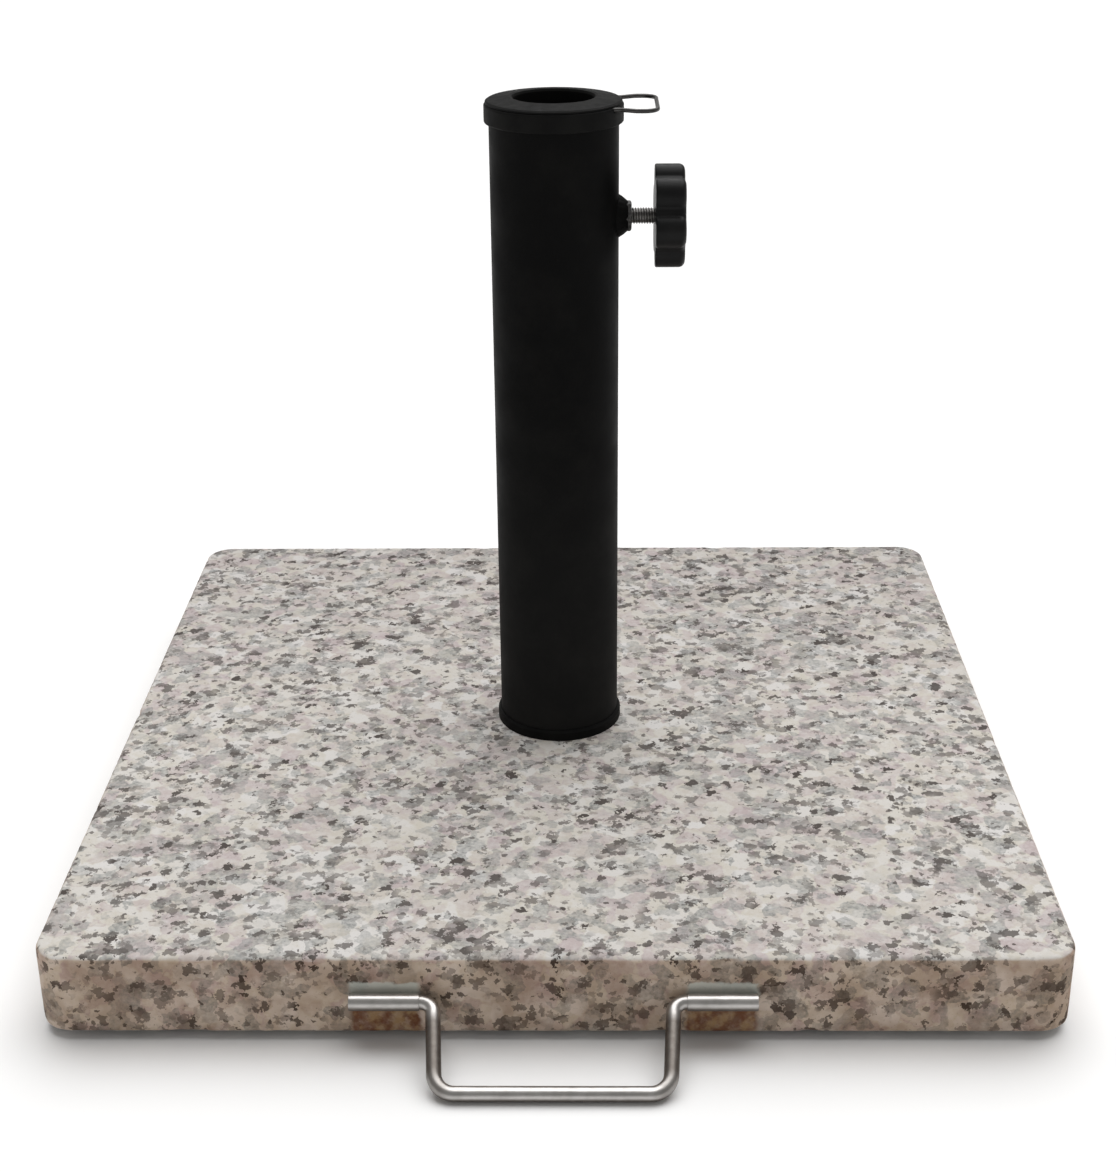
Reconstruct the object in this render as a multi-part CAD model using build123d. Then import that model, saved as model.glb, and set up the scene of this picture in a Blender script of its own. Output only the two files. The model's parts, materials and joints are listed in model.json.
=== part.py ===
from build123d import *
import math
import os

# Garden parasol base: a granite slab with an upright steel socket tube, a pull handle at the front and
# two rollers under the back edge. Millimetres. Origin on the floor under the tube's axis, +Z up.
# The handle is at the front (-Y), and the clamp knob is at the right (+X).

# ---------------------------------------------------------------- slab and feet
SLAB_SIDE = 450.0
SLAB_T = 38.0
SLAB_CORNER_R = 15.0
SLAB_TOP_EASE = 2.5
SLAB_BOTTOM_EASE = 1.5
FOOT_H = 4.0
FOOT_D = 32.0
FOOT_INSET = 40.0                       # foot centre, in from each side
SLAB_Z0 = FOOT_H
SLAB_Z1 = SLAB_Z0 + SLAB_T
SLAB_MID_Z = (SLAB_Z0 + SLAB_Z1) / 2
HALF = SLAB_SIDE / 2

# ---------------------------------------------------------------- socket tube and its fixing
TUBE_OD = 61.0
TUBE_WALL = 1.5
TUBE_R = TUBE_OD / 2
TUBE_BORE_R = TUBE_R - TUBE_WALL
RING_LIP = 1.0                          # plastic under the tube's cut end
RING_R = 32.1
RING_H = 5.5
TUBE_Z0 = SLAB_Z1 + RING_LIP
TUBE_Z1 = 356.7
END_PLATE_T = 8.0
END_WELD_LEG = 4.0
BOLT_D = 12.0                           # M12
BOLT_AF = 18.0
BOLT_HEAD_H = 7.5
BOLT_LEN = 50.0
NUT12_H = 10.8
WASHER_R = 22.0
WASHER_T = 3.0
SPRING_WASHER_R = 10.5
SPRING_WASHER_T = 2.5
RECESS_R = 26.0                         # recess under the slab for the bolt head
RECESS_DEPTH = 14.0

# ---------------------------------------------------------------- pole bearings and top collar
POLE_R = 19.0
GUIDE_Z0 = 55.2
GUIDE_FLOOR_Z = 66.0
GUIDE_FLOOR_T = 3.0
GUIDE_Z1 = 98.0
GUIDE_R = TUBE_BORE_R - 0.15
GUIDE_DRAIN_R = 5.0
COLLAR_R = 32.7
COLLAR_Z0 = 352.8
COLLAR_Z1 = 361.5
COLLAR_SKIRT_R = TUBE_R + 0.1
COLLAR_SPIGOT_R = TUBE_BORE_R - 0.1
COLLAR_SPIGOT_Z0 = 345.0
COLLAR_BORE_R = 26.6
REDUCER_R = COLLAR_BORE_R - 0.2
REDUCER_Z0 = 322.0
FLANGE_R = 32.0
FLANGE_Z0 = COLLAR_Z1 + 0.2
FLANGE_EDGE_Z = 363.0                   # top of the flange at its rim
REDUCER_TOP_Z = 364.6                   # top of the flange at the bore

# ---------------------------------------------------------------- spring clip that holds the reducer
CLIP_WIRE = 2.0
CLIP_FIT = 0.1                          # clearance all round the wire
CLIP_Z = COLLAR_Z1 - CLIP_WIRE / 2 + 0.1
CLIP_LEG_Y = 16.0
CLIP_TIP_X = 13.5
CLIP_LEG_END_X = 31.0
CLIP_BULB_X = 38.5
CLIP_BULB_Y = 19.5
CLIP_END_X = 48.0
CLIP_BULB_BEND_R = 4.0
CLIP_END_BEND_R = 6.5

# ---------------------------------------------------------------- clamp screw and knob
CLAMP_Z = 308.0
THREAD_D = 8.0                          # M8 x 1.25
THREAD_FIT = 0.05
CLAMP_NUT_AF = 13.0
CLAMP_NUT_X1 = 36.5
CLAMP_HOLE_R = 4.6
WELD_BASE_R = 10.3
WELD_TOP_R = 6.9
WELD_X1 = 34.8
PAD_TIP_X = 21.5                        # face of the pressure pad, clear of the pole
PAD_T = 3.5
PAD_R = 7.0
JOURNAL_R = 2.75
JOURNAL_LEN = 2.2
KNOB_X0 = 47.5
KNOB_X1 = 61.8
KNOB_LOBES = 6
KNOB_LOBE_CENTRE = 16.2
KNOB_LOBE_R = 8.1
KNOB_WAIST_R = 19.2
KNOB_VALLEY_R = 2.2
KNOB_TURN = -18.0                       # first lobe, from +Z towards -Y
KNOB_FRONT_EASE = 3.0
KNOB_BACK_EASE = 0.9
SCREW_HEAD_H = 5.3
SCREW_HEAD_X0 = 54.2
CAP_R = 9.0
CAP_T = 2.0

# ---------------------------------------------------------------- pull handle
ROD_D = 6.5
ROD_R = ROD_D / 2
STRAP_FIT = 0.05
STRAP_T = 0.5
STRAP_R = ROD_R + STRAP_FIT + STRAP_T
STRAP_GAP = 0.3                         # between the strap's loop and the stone
STRAP_X0 = 57.3
STRAP_X1 = 87.6
STRAP_TAIL = 18.0                       # depth of the tails in the stone
PIVOT_Y = -(HALF + STRAP_GAP + STRAP_R)
PIVOT_Z = SLAB_MID_Z
LEG_X_TOP = 51.6
LEG_X_BOTTOM = 49.2
GRIP_Y = -265.5                         # handle lying with its grip just off the floor
GRIP_Z = ROD_R + 0.2
HANDLE_TOP_BEND_R = 5.5
HANDLE_GRIP_BEND_R = 9.0

# ---------------------------------------------------------------- rollers under the back edge
WHEEL_X = 140.0
WHEEL_Y = 219.0
WHEEL_R = 16.5
WHEEL_CLEARANCE = 2.0                   # off the floor while the base stands
WHEEL_Z = WHEEL_R + WHEEL_CLEARANCE
TYRE_W = 18.0
HUB_R = 9.5
HUB_W = 20.6
AXLE_R = 3.0
AXLE_FIT = 0.05
AXLE_HEAD_R = 5.0
AXLE_HEAD_T = 2.0
CHEEK_IN = 11.0
BRACKET_T = 2.0
CHEEK_OUT = CHEEK_IN + BRACKET_T
CHEEK_R = 7.0
BRACKET_Y0 = 198.7
BRACKET_Z0 = 6.0
BRACKET_Z1 = 35.0
POCKET_HALF_W = 15.5
POCKET_Y0 = 198.5
POCKET_Z1 = 36.5
CLIP_RING_R = 5.5
CLIP_RING_T = 0.9
ANCHOR_Z = 28.0
ANCHOR_R = 4.0
ANCHOR_LEN = 26.0
ANCHOR_SCREW_R = 2.5
ANCHOR_SCREW_LEN = 22.0
ANCHOR_HEAD_R = 4.8
ANCHOR_HEAD_H = 2.6


def z_cylinder(radius, z0, z1, x=0.0, y=0.0):
    return Pos(x, y, (z0 + z1) / 2) * Cylinder(radius, z1 - z0)


def x_cylinder(radius, x0, x1, y=0.0, z=0.0):
    return Pos((x0 + x1) / 2, y, z) * Rot(0, 90, 0) * Cylinder(radius, x1 - x0)


def y_cylinder(radius, y0, y1, x=0.0, z=0.0):
    return Pos(x, (y0 + y1) / 2, z) * Rot(90, 0, 0) * Cylinder(radius, y1 - y0)


def block(x0, x1, y0, y1, z0, z1):
    centre = ((x0 + x1) / 2, (y0 + y1) / 2, (z0 + z1) / 2)
    return Pos(*centre) * Box(x1 - x0, y1 - y0, z1 - z0)


def ring(r_in, r_out, z0, z1):
    return z_cylinder(r_out, z0, z1) - z_cylinder(r_in, z0 - 1, z1 + 1)


def turned(points):
    """A solid turned about the Z axis from a closed outline of (radius, z) points."""
    outline = make_face(Polyline([(r, 0, z) for r, z in points], close=True))
    return revolve(outline, Axis.Z)


def hexagon_x(across_flats, x0, x1, z):
    """A hexagonal bar along X, with a flat up and a flat down."""
    profile = Plane(origin=(x0, 0, z), x_dir=(0, 1, 0), z_dir=(1, 0, 0))
    face = profile * RegularPolygon(across_flats / math.sqrt(3), 6)
    return extrude(face, x1 - x0)


def hexagon_z(across_flats, z0, z1):
    return extrude(Pos(0, 0, z0) * RegularPolygon(across_flats / math.sqrt(3), 6), z1 - z0)


def both_sides(solid):
    """The solid and its mirror image across the plane X = 0."""
    return Compound(children=[solid, mirror(solid, Plane.YZ)])


# ---------------------------------------------------------------- stone and floor contact
def granite_slab():
    slab = block(-HALF, HALF, -HALF, HALF, SLAB_Z0, SLAB_Z1)
    slab = fillet(slab.edges().filter_by(Axis.Z), SLAB_CORNER_R)
    slab = fillet(slab.faces().sort_by(Axis.Z)[-1].edges(), SLAB_TOP_EASE)
    slab = fillet(slab.faces().sort_by(Axis.Z)[0].edges(), SLAB_BOTTOM_EASE)
    slab -= z_cylinder(BOLT_D / 2 + 0.5, SLAB_Z0 - 1, SLAB_Z1 + 1)
    slab -= z_cylinder(RECESS_R, SLAB_Z0 - 1, SLAB_Z0 + RECESS_DEPTH)
    for side in (-1, 1):
        x = side * WHEEL_X
        slab -= block(x - POCKET_HALF_W, x + POCKET_HALF_W, POCKET_Y0, HALF + 1, SLAB_Z0 - 1, POCKET_Z1)
        slab -= y_cylinder(ANCHOR_R, POCKET_Y0 - ANCHOR_LEN - 0.5, POCKET_Y0 + 1, x, ANCHOR_Z)
        slot = [side * (STRAP_X0 - 0.2), side * (STRAP_X1 + 0.2)]
        slab -= block(min(slot), max(slot), -HALF - 1, -HALF + STRAP_TAIL + 0.3,
                      PIVOT_Z - STRAP_T - 0.1, PIVOT_Z + STRAP_T + 0.1)
    return slab


def rubber_feet():
    foot = z_cylinder(FOOT_D / 2, 0, FOOT_H)
    foot = chamfer(foot.edges().sort_by(Axis.Z)[0], 1.0)
    reach = HALF - FOOT_INSET
    return Compound(children=[Pos(x, y, 0) * foot for x in (-reach, reach) for y in (-reach, reach)])


# ---------------------------------------------------------------- tube and what bolts it down
def tube_foot_ring():
    top = SLAB_Z1 + RING_H
    inner = TUBE_R + 0.1
    return turned([(TUBE_BORE_R, SLAB_Z1), (RING_R, SLAB_Z1), (RING_R, top - 1.2), (RING_R - 0.9, top),
                   (inner, top), (inner, TUBE_Z0), (TUBE_BORE_R, TUBE_Z0)])


def socket_tube():
    tube = ring(TUBE_BORE_R, TUBE_R, TUBE_Z0, TUBE_Z1)
    return tube - x_cylinder(CLAMP_HOLE_R, 0, TUBE_R + 1, 0, CLAMP_Z)


def tube_end_plate():
    return ring(BOLT_D / 2 + 0.5, TUBE_BORE_R - 0.05, TUBE_Z0, TUBE_Z0 + END_PLATE_T)


def end_plate_weld():
    z0 = TUBE_Z0 + END_PLATE_T
    r1 = TUBE_BORE_R - 0.05
    return turned([(r1 - END_WELD_LEG, z0), (r1, z0), (r1, z0 + END_WELD_LEG),
                   (r1 - 0.55 * END_WELD_LEG, z0 + 0.75 * END_WELD_LEG)])


def end_plate_nut():
    z0 = TUBE_Z0 + END_PLATE_T
    return hexagon_z(BOLT_AF, z0, z0 + NUT12_H) - z_cylinder(BOLT_D / 2 + 0.02, z0 - 1, z0 + NUT12_H + 1)


def washer_stack_top():
    return SLAB_Z0 + RECESS_DEPTH


def large_washer():
    z1 = washer_stack_top()
    return ring(BOLT_D / 2 + 0.5, WASHER_R, z1 - WASHER_T, z1)


def spring_washer():
    z1 = washer_stack_top() - WASHER_T
    washer = ring(BOLT_D / 2 + 0.2, SPRING_WASHER_R, z1 - SPRING_WASHER_T, z1)
    return washer - block(0, SPRING_WASHER_R + 1, -0.6, 0.6, z1 - SPRING_WASHER_T - 1, z1 + 1)


def base_bolt():
    under_head = washer_stack_top() - WASHER_T - SPRING_WASHER_T
    head = hexagon_z(BOLT_AF, under_head - BOLT_HEAD_H, under_head)
    shank = z_cylinder(BOLT_D / 2, under_head, under_head + BOLT_LEN)
    shank = chamfer(shank.edges().sort_by(Axis.Z)[-1], 1.2)
    return head + shank


# ---------------------------------------------------------------- what the pole touches
def pole_guide():
    """A plastic cup in the foot of the tube: it centres the pole's end, carries it and drains it."""
    floor_top = GUIDE_FLOOR_Z + GUIDE_FLOOR_T
    return turned([(GUIDE_DRAIN_R, GUIDE_FLOOR_Z), (GUIDE_R - 4, GUIDE_FLOOR_Z), (GUIDE_R - 4, GUIDE_Z0),
                   (GUIDE_R, GUIDE_Z0), (GUIDE_R, GUIDE_Z1), (GUIDE_R - 1.5, GUIDE_Z1),
                   (POLE_R, GUIDE_Z1 - 10), (POLE_R, floor_top), (GUIDE_DRAIN_R, floor_top)])


def clip_channels(z0, z1, x0, x1):
    half = CLIP_WIRE / 2 + CLIP_FIT
    legs = [block(x0, x1, y - half, y + half, z0, z1) for y in (-CLIP_LEG_Y, CLIP_LEG_Y)]
    return legs[0] + legs[1]


def collar():
    body = turned([(COLLAR_BORE_R, COLLAR_SPIGOT_Z0), (COLLAR_SPIGOT_R, COLLAR_SPIGOT_Z0),
                   (COLLAR_SPIGOT_R, TUBE_Z1), (COLLAR_SKIRT_R, TUBE_Z1), (COLLAR_SKIRT_R, COLLAR_Z0),
                   (COLLAR_R, COLLAR_Z0), (COLLAR_R, COLLAR_Z1), (COLLAR_BORE_R, COLLAR_Z1)])
    rims = body.edges().filter_by(GeomType.CIRCLE).filter_by(lambda e: abs(e.radius - COLLAR_R) < 0.01)
    body = fillet(rims.sort_by(Axis.Z)[-1], 1.1)
    body = fillet(body.edges().filter_by(GeomType.CIRCLE).filter_by(
        lambda e: abs(e.radius - COLLAR_R) < 0.01).sort_by(Axis.Z)[0], 0.8)
    floor = CLIP_Z - CLIP_WIRE / 2 - CLIP_FIT
    return body - clip_channels(floor, COLLAR_Z1 + 1, CLIP_TIP_X, COLLAR_R + 1)


def reducer_sleeve():
    body = turned([(POLE_R, REDUCER_Z0), (REDUCER_R, REDUCER_Z0), (REDUCER_R, FLANGE_Z0),
                   (FLANGE_R, FLANGE_Z0), (FLANGE_R, FLANGE_EDGE_Z - 0.6), (FLANGE_R - 0.9, FLANGE_EDGE_Z),
                   (POLE_R + 1.8, REDUCER_TOP_Z), (POLE_R + 0.6, REDUCER_TOP_Z - 0.3),
                   (POLE_R, REDUCER_TOP_Z - 1.4)])
    floor = CLIP_Z - CLIP_WIRE / 2 - CLIP_FIT
    return body - clip_channels(floor, FLANGE_Z0, CLIP_TIP_X - 0.5, REDUCER_R + 1)


def collar_clip():
    """Bent wire: two straight legs in the collar's channels, and a bulb outside to pull it by."""
    path = FilletPolyline(
        (CLIP_TIP_X, CLIP_LEG_Y, CLIP_Z), (CLIP_LEG_END_X, CLIP_LEG_Y, CLIP_Z),
        (CLIP_BULB_X, CLIP_BULB_Y, CLIP_Z), (CLIP_END_X, CLIP_BULB_Y, CLIP_Z),
        (CLIP_END_X, -CLIP_BULB_Y, CLIP_Z), (CLIP_BULB_X, -CLIP_BULB_Y, CLIP_Z),
        (CLIP_LEG_END_X, -CLIP_LEG_Y, CLIP_Z), (CLIP_TIP_X, -CLIP_LEG_Y, CLIP_Z),
        radius=[CLIP_BULB_BEND_R, CLIP_BULB_BEND_R, CLIP_END_BEND_R,
                CLIP_END_BEND_R, CLIP_BULB_BEND_R, CLIP_BULB_BEND_R])
    section = Plane(origin=path @ 0, z_dir=path % 0) * Circle(CLIP_WIRE / 2)
    return sweep(section, path)


# ---------------------------------------------------------------- clamp
def clamp_nut():
    nut = hexagon_x(CLAMP_NUT_AF, TUBE_BORE_R, CLAMP_NUT_X1, CLAMP_Z)
    nut -= z_cylinder(TUBE_R, TUBE_Z0, TUBE_Z1)
    return nut - x_cylinder(THREAD_D / 2 + THREAD_FIT, 0, CLAMP_NUT_X1 + 1, 0, CLAMP_Z)


def clamp_nut_weld():
    height = WELD_X1 - TUBE_BORE_R
    flare = WELD_BASE_R + (WELD_BASE_R - WELD_TOP_R) * TUBE_WALL / (WELD_X1 - TUBE_R)
    bead = Pos(TUBE_BORE_R + height / 2, 0, CLAMP_Z) * Rot(0, 90, 0) * Cone(flare, WELD_TOP_R, height)
    bead -= z_cylinder(TUBE_R, TUBE_Z0, TUBE_Z1)
    return bead - hexagon_x(CLAMP_NUT_AF, 0, CLAMP_NUT_X1 + 1, CLAMP_Z)


def clamp_pad():
    pad = x_cylinder(PAD_R, PAD_TIP_X, PAD_TIP_X + PAD_T, 0, CLAMP_Z)
    pad = chamfer(pad.edges().sort_by(Axis.X)[0], 0.8)
    return pad - x_cylinder(JOURNAL_R + 0.05, PAD_TIP_X + PAD_T - JOURNAL_LEN - 0.1, PAD_TIP_X + PAD_T + 1,
                            0, CLAMP_Z)


def clamp_screw():
    pad_back = PAD_TIP_X + PAD_T
    journal = x_cylinder(JOURNAL_R, pad_back - JOURNAL_LEN, pad_back + 0.5, 0, CLAMP_Z)
    shank = x_cylinder(THREAD_D / 2, pad_back + 0.1, SCREW_HEAD_X0 + 0.5, 0, CLAMP_Z)
    shank = chamfer(shank.edges().sort_by(Axis.X)[0], 0.7)
    head = hexagon_x(CLAMP_NUT_AF, SCREW_HEAD_X0, SCREW_HEAD_X0 + SCREW_HEAD_H, CLAMP_Z)
    return journal + shank + head


def knob_outline():
    """The lobed outline; its own X is +Z on the knob, and its own Y is -Y there."""
    lobes = [Rot(0, 0, KNOB_TURN + 360 * i / KNOB_LOBES) * Pos(KNOB_LOBE_CENTRE, 0) * Circle(KNOB_LOBE_R)
             for i in range(KNOB_LOBES)]
    outline = Sketch() + Circle(KNOB_WAIST_R) + lobes
    return fillet(outline.vertices(), KNOB_VALLEY_R)


def knob():
    end = Plane(origin=(KNOB_X0, 0, CLAMP_Z), x_dir=(0, 0, 1), z_dir=(1, 0, 0))
    body = extrude(end * knob_outline(), KNOB_X1 - KNOB_X0)
    body = fillet(body.faces().sort_by(Axis.X)[-1].edges(), KNOB_FRONT_EASE)
    body = fillet(body.faces().sort_by(Axis.X)[0].edges(), KNOB_BACK_EASE)
    body -= x_cylinder(THREAD_D / 2 + THREAD_FIT, KNOB_X0 - 1, KNOB_X1, 0, CLAMP_Z)
    body -= hexagon_x(CLAMP_NUT_AF + 0.1, SCREW_HEAD_X0, KNOB_X1, CLAMP_Z)
    return body - x_cylinder(CAP_R + 0.05, KNOB_X1 - CAP_T - 0.1, KNOB_X1 + 1, 0, CLAMP_Z)


def knob_cap():
    cap = x_cylinder(CAP_R, KNOB_X1 - CAP_T, KNOB_X1, 0, CLAMP_Z)
    return fillet(cap.edges().sort_by(Axis.X)[-1], 0.6)


# ---------------------------------------------------------------- handle
def handle():
    path = FilletPolyline(
        (-STRAP_X1 + 0.3, PIVOT_Y, PIVOT_Z), (-LEG_X_TOP, PIVOT_Y, PIVOT_Z),
        (-LEG_X_BOTTOM, GRIP_Y, GRIP_Z), (LEG_X_BOTTOM, GRIP_Y, GRIP_Z),
        (LEG_X_TOP, PIVOT_Y, PIVOT_Z), (STRAP_X1 - 0.3, PIVOT_Y, PIVOT_Z),
        radius=[HANDLE_TOP_BEND_R, HANDLE_GRIP_BEND_R, HANDLE_GRIP_BEND_R, HANDLE_TOP_BEND_R])
    section = Plane(origin=path @ 0, z_dir=path % 0) * Circle(ROD_R)
    return sweep(section, path)


def handle_strap(side):
    """Folded strip: a loop round the handle's end, and two tails bonded into a slot in the stone."""
    x0, x1 = sorted((side * STRAP_X0, side * STRAP_X1))
    loop = x_cylinder(STRAP_R, x0, x1, PIVOT_Y, PIVOT_Z)
    tails = block(x0, x1, PIVOT_Y, -HALF + STRAP_TAIL, PIVOT_Z - STRAP_T, PIVOT_Z + STRAP_T)
    return loop + tails - x_cylinder(ROD_R + STRAP_FIT, x0 - 1, x1 + 1, PIVOT_Y, PIVOT_Z)


# ---------------------------------------------------------------- rollers
def wheel_bracket(side):
    x = side * WHEEL_X
    web = block(x - CHEEK_OUT, x + CHEEK_OUT, BRACKET_Y0, BRACKET_Y0 + BRACKET_T, BRACKET_Z0, BRACKET_Z1)
    bracket = web - y_cylinder(ANCHOR_SCREW_R + 0.3, BRACKET_Y0 - 1, BRACKET_Y0 + BRACKET_T + 1, x, ANCHOR_Z)
    for inner in (-CHEEK_OUT, CHEEK_IN):
        x0 = x + inner
        outline = make_face(Plane(origin=(x0, 0, 0), x_dir=(0, 1, 0), z_dir=(1, 0, 0)) * Polyline(
            (BRACKET_Y0, BRACKET_Z0), (WHEEL_Y, WHEEL_Z - CHEEK_R), (WHEEL_Y, WHEEL_Z + CHEEK_R),
            (BRACKET_Y0, BRACKET_Z1), close=True))
        cheek = extrude(outline, BRACKET_T) + x_cylinder(CHEEK_R, x0, x0 + BRACKET_T, WHEEL_Y, WHEEL_Z)
        bracket += cheek
    return bracket - x_cylinder(AXLE_R + AXLE_FIT, x - CHEEK_OUT - 1, x + CHEEK_OUT + 1, WHEEL_Y, WHEEL_Z)


def wheel_bracket_plugs():
    plug = y_cylinder(ANCHOR_R - 0.05, POCKET_Y0 - ANCHOR_LEN, POCKET_Y0, WHEEL_X, ANCHOR_Z)
    plug -= y_cylinder(ANCHOR_SCREW_R, POCKET_Y0 - ANCHOR_SCREW_LEN, POCKET_Y0 + 1, WHEEL_X, ANCHOR_Z)
    return both_sides(plug)


def wheel_bracket_screws():
    seat = BRACKET_Y0 + BRACKET_T
    shank = y_cylinder(ANCHOR_SCREW_R - 0.02, POCKET_Y0 - ANCHOR_SCREW_LEN + 1, seat + 0.2, WHEEL_X, ANCHOR_Z)
    head = y_cylinder(ANCHOR_HEAD_R, seat, seat + ANCHOR_HEAD_H, WHEEL_X, ANCHOR_Z)
    head = fillet(head.edges().sort_by(Axis.Y)[-1], 1.4)
    head -= y_cylinder(1.2, seat + ANCHOR_HEAD_H - 1.2, seat + ANCHOR_HEAD_H + 1, WHEEL_X, ANCHOR_Z)
    return both_sides(shank + head)


def wheel_axles():
    head = x_cylinder(AXLE_HEAD_R, WHEEL_X - CHEEK_OUT - AXLE_HEAD_T, WHEEL_X - CHEEK_OUT, WHEEL_Y, WHEEL_Z)
    head = chamfer(head.edges().sort_by(Axis.X)[0], 0.5)
    pin = x_cylinder(AXLE_R, WHEEL_X - CHEEK_OUT - 0.5, WHEEL_X + POCKET_HALF_W - 0.3, WHEEL_Y, WHEEL_Z)
    return both_sides(head + pin)


def axle_clips():
    x0 = WHEEL_X + CHEEK_OUT + 0.1
    clip = x_cylinder(CLIP_RING_R, x0, x0 + CLIP_RING_T, WHEEL_Y, WHEEL_Z)
    clip -= x_cylinder(AXLE_R, x0 - 1, x0 + CLIP_RING_T + 1, WHEEL_Y, WHEEL_Z)
    clip -= block(x0 - 1, x0 + CLIP_RING_T + 1, WHEEL_Y - 1.8, WHEEL_Y + 1.8, WHEEL_Z - CLIP_RING_R - 1, WHEEL_Z)
    return both_sides(clip)


def wheel_hub(side):
    x = side * WHEEL_X
    hub = x_cylinder(HUB_R, x - TYRE_W / 2, x + TYRE_W / 2, WHEEL_Y, WHEEL_Z)
    hub += x_cylinder(AXLE_R + 2.5, x - HUB_W / 2, x + HUB_W / 2, WHEEL_Y, WHEEL_Z)
    return hub - x_cylinder(AXLE_R + AXLE_FIT, x - HUB_W, x + HUB_W, WHEEL_Y, WHEEL_Z)


def wheel_tyre(side):
    x = side * WHEEL_X
    tyre = x_cylinder(WHEEL_R, x - TYRE_W / 2, x + TYRE_W / 2, WHEEL_Y, WHEEL_Z)
    tyre = fillet(tyre.edges().filter_by(GeomType.CIRCLE), 2.0)
    return tyre - x_cylinder(HUB_R, x - TYRE_W, x + TYRE_W, WHEEL_Y, WHEEL_Z)


NODES = {
    "granite_slab": granite_slab(),
    "rubber_feet": rubber_feet(),
    "tube_foot_ring": tube_foot_ring(),
    "socket_tube": socket_tube(),
    "tube_end_plate": tube_end_plate(),
    "end_plate_weld": end_plate_weld(),
    "end_plate_nut": end_plate_nut(),
    "large_washer": large_washer(),
    "spring_washer": spring_washer(),
    "base_bolt": base_bolt(),
    "pole_guide": pole_guide(),
    "collar": collar(),
    "reducer_sleeve": reducer_sleeve(),
    "collar_clip": collar_clip(),
    "clamp_nut": clamp_nut(),
    "clamp_nut_weld": clamp_nut_weld(),
    "clamp_pad": clamp_pad(),
    "clamp_screw": clamp_screw(),
    "knob": knob(),
    "knob_cap": knob_cap(),
    "handle": handle(),
    "handle_strap_left": handle_strap(-1),
    "handle_strap_right": handle_strap(1),
    "wheel_bracket_left": wheel_bracket(-1),
    "wheel_bracket_right": wheel_bracket(1),
    "wheel_bracket_plugs": wheel_bracket_plugs(),
    "wheel_bracket_screws": wheel_bracket_screws(),
    "wheel_axles": wheel_axles(),
    "axle_clips": axle_clips(),
    "wheel_hub_left": wheel_hub(-1),
    "wheel_hub_right": wheel_hub(1),
    "wheel_tyre_left": wheel_tyre(-1),
    "wheel_tyre_right": wheel_tyre(1),
}

os.makedirs("parts", exist_ok=True)
for name, shape in NODES.items():
    export_step(shape, f"parts/{name}.step")
    print(f"{name}: {shape.volume / 1000:.2f} cm3")
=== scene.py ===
import json
import math

import bmesh
import bpy
from mathutils import Matrix, Vector, noise


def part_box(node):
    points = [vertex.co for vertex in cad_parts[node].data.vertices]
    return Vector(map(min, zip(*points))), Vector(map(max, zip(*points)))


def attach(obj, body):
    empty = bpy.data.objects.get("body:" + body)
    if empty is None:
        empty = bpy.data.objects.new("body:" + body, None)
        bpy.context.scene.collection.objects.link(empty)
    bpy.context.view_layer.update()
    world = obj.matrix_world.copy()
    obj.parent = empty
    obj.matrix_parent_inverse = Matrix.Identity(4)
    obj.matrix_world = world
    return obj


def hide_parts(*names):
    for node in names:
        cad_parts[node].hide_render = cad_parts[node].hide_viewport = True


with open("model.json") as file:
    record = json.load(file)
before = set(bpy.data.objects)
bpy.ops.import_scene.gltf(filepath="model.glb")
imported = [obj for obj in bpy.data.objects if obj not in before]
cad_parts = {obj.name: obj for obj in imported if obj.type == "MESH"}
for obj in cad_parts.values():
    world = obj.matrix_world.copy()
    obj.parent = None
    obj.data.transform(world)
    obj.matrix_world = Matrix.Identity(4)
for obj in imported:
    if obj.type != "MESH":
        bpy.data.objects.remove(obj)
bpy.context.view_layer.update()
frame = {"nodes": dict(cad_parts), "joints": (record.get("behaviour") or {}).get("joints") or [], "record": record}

MM = 0.001
NODES = frame["nodes"]
JOINTS = {joint["name"]: joint for joint in frame["joints"]}
SLOT_OF = {part["node"]: part["material_slot"] for part in frame["record"]["subparts"]}
FINE = 96                       # segments round a large turned shape


# ------------------------------------------------------------------ places, all from the frame
TUBE_LOW, TUBE_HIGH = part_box("socket_tube")
TUBE_R = (TUBE_HIGH.x - TUBE_LOW.x) / 2
PIVOT = Vector(JOINTS["handle_fold"]["pos_m"])
CLAMP_AXIS_Z = JOINTS["screw_turn"]["pos_m"][2]


# ------------------------------------------------------------------ mesh helpers
def outward_mesh(name, verts, faces):
    """A mesh with all its faces turned outward."""
    mesh = bpy.data.meshes.new(name)
    mesh.from_pydata([tuple(v) for v in verts], [], faces)
    mesh.validate()
    shell = bmesh.new()
    shell.from_mesh(mesh)
    bmesh.ops.recalc_face_normals(shell, faces=shell.faces)
    shell.to_mesh(mesh)
    shell.free()
    mesh.update()
    return mesh


def make_piece(name, verts, faces, body, replaces):
    """A mesh object that rides on a body and stands for CAD nodes, which it hides."""
    mesh = outward_mesh(name, verts, faces)
    mesh.polygons.foreach_set("use_smooth", [True] * len(mesh.polygons))
    piece = bpy.data.objects.new(name, mesh)
    bpy.context.scene.collection.objects.link(piece)
    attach(piece, body)
    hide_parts(*replaces)
    return piece


def soft_edges(piece, angle=40):
    """Smooth shading with the sharp edges kept."""
    mesh = piece.data
    mesh.set_sharp_from_angle(angle=math.radians(angle))
    return piece


class Builder:
    """Collects several shells into one mesh."""

    def __init__(self):
        self.verts = []
        self.faces = []

    def add(self, verts, faces):
        start = len(self.verts)
        self.verts += [Vector(v) for v in verts]
        self.faces += [tuple(start + i for i in face) for face in faces]

    def piece(self, name, body, replaces, angle=40):
        return soft_edges(make_piece(name, self.verts, self.faces, body, replaces), angle)


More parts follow.
